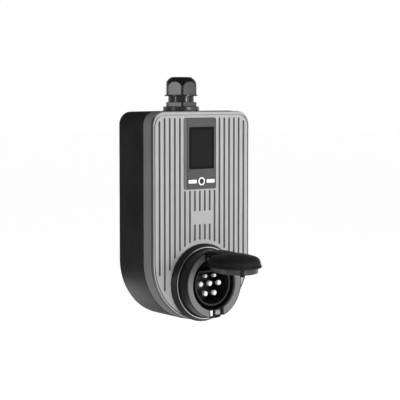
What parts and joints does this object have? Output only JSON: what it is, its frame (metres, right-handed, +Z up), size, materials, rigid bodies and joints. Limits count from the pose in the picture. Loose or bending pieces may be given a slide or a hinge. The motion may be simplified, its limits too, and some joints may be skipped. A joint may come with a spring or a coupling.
{
  "type": "electric vehicle charger",
  "caption": "Wall-hung electric vehicle charger with a fluted shield-shaped front, display, push button, lidded charging socket and a cable gland on top.",
  "frame": {"origin": "centre of the four threaded inserts in the flat back face, on the wall's plane", "axes": "+Z up, +Y into the wall, the front faces -Y"},
  "size_m": [0.172, 0.1951, 0.3456],
  "materials": {
    "casing_black": "fine spark-eroded texture",
    "seal_rubber": "matt cord",
    "band_grey": "satin moulded",
    "plate_grey": "satin moulded, fluted",
    "panel_grey": "fine satin",
    "screen_black": "polished acrylic",
    "module_grey": "display module",
    "light_white": "milky light guide",
    "button_black": "polished dome",
    "switch_black": "moulded",
    "circuit_green": "solder mask over glass laminate",
    "zinc_screws": "zinc plated",
    "socket_black": "satin moulded",
    "trim_bright": "turned",
    "ring_grey": "fine texture",
    "carrier_black": "glass-filled",
    "contact_silver": "silver plated",
    "cap_white": "touch guard",
    "actuator_grey": "moulded",
    "bolt_steel": "hardened",
    "lid_black": "satin moulded",
    "seal_grey": "moulded",
    "spring_steel": "bright spring strip",
    "keeper_grey": "moulded",
    "gland_black": "polyamide",
    "brass": "knurled",
    "standoff_nylon": "nylon",
    "relay_black": "moulded",
    "sensor_blue": "potted coil",
    "supply_grey": "potted box",
    "capacitor_sleeve": "shrink sleeve",
    "terminal_grey": "moulded",
    "lead_sleeve": "insulated wire",
    "fuse_glass": "glass tube with metal ends",
    "module_shield": "tinned can"
  },
  "bodies": {
    "housing": {"rear_housing": "casing_black", "housing_gasket": "seal_rubber", "front_frame": "band_grey", "front_panel": "plate_grey", "display_bezel": "panel_grey", "screen_lens": "screen_black", "lcd_module": "module_grey", "status_bars": "light_white", "button_ring": "light_white", "button_switch": "switch_black", "display_board": "circuit_green", "display_screws": "zinc_screws", "socket_collar": "socket_black", "collar_trim": "trim_bright", "socket_shell": "socket_black", "socket_gasket": "seal_rubber", "socket_screws": "zinc_screws", "socket_ring": "ring_grey", "socket_insert": "carrier_black", "power_pins": "contact_silver", "power_pin_caps": "cap_white", "signal_pins": "contact_silver", "signal_pin_caps": "cap_white", "lock_actuator": "actuator_grey", "hinge_bracket": "lid_black", "hinge_screws": "zinc_screws", "hinge_pin": "bolt_steel", "latch_leaf": "spring_steel", "latch_keeper": "keeper_grey", "gland_base": "seal_rubber", "gland_body": "gland_black", "gland_seal": "seal_rubber", "gland_nut": "gland_black", "gland_locknut": "gland_black", "wall_inserts": "brass", "housing_screws": "zinc_screws", "panel_screws": "zinc_screws", "main_board": "circuit_green", "board_standoffs": "standoff_nylon", "board_screws": "zinc_screws", "relays": "relay_black", "current_sensor": "sensor_blue", "power_supply": "supply_grey", "capacitors": "capacitor_sleeve", "terminal_block": "terminal_grey", "output_block": "terminal_grey", "power_leads": "lead_sleeve", "fuse": "fuse_glass", "wireless_module": "module_shield"},
    "lid": {"lid": "lid_black", "lid_seal": "seal_grey"},
    "button": {"button_cap": "button_black"},
    "lock_bolt": {"lock_pin": "bolt_steel"}
  },
  "joints": [
    {"name": "lid_hinge", "type": "hinge", "parent": "housing", "child": "lid", "pos_m": [0, -0.1201, -0.0566], "axis": [1, 0, 0], "range_deg": [-12.5, 87.5]},
    {"name": "button_push", "type": "slide", "parent": "housing", "child": "button", "axis": [0, 1, 0], "range_m": [0, 0.0008], "stiffness_N_per_m": 900, "springref_m": -0.0012},
    {"name": "lock_slide", "type": "slide", "parent": "housing", "child": "lock_bolt", "axis": [0, 0, -1], "range_m": [0, 0.006]}
  ]
}
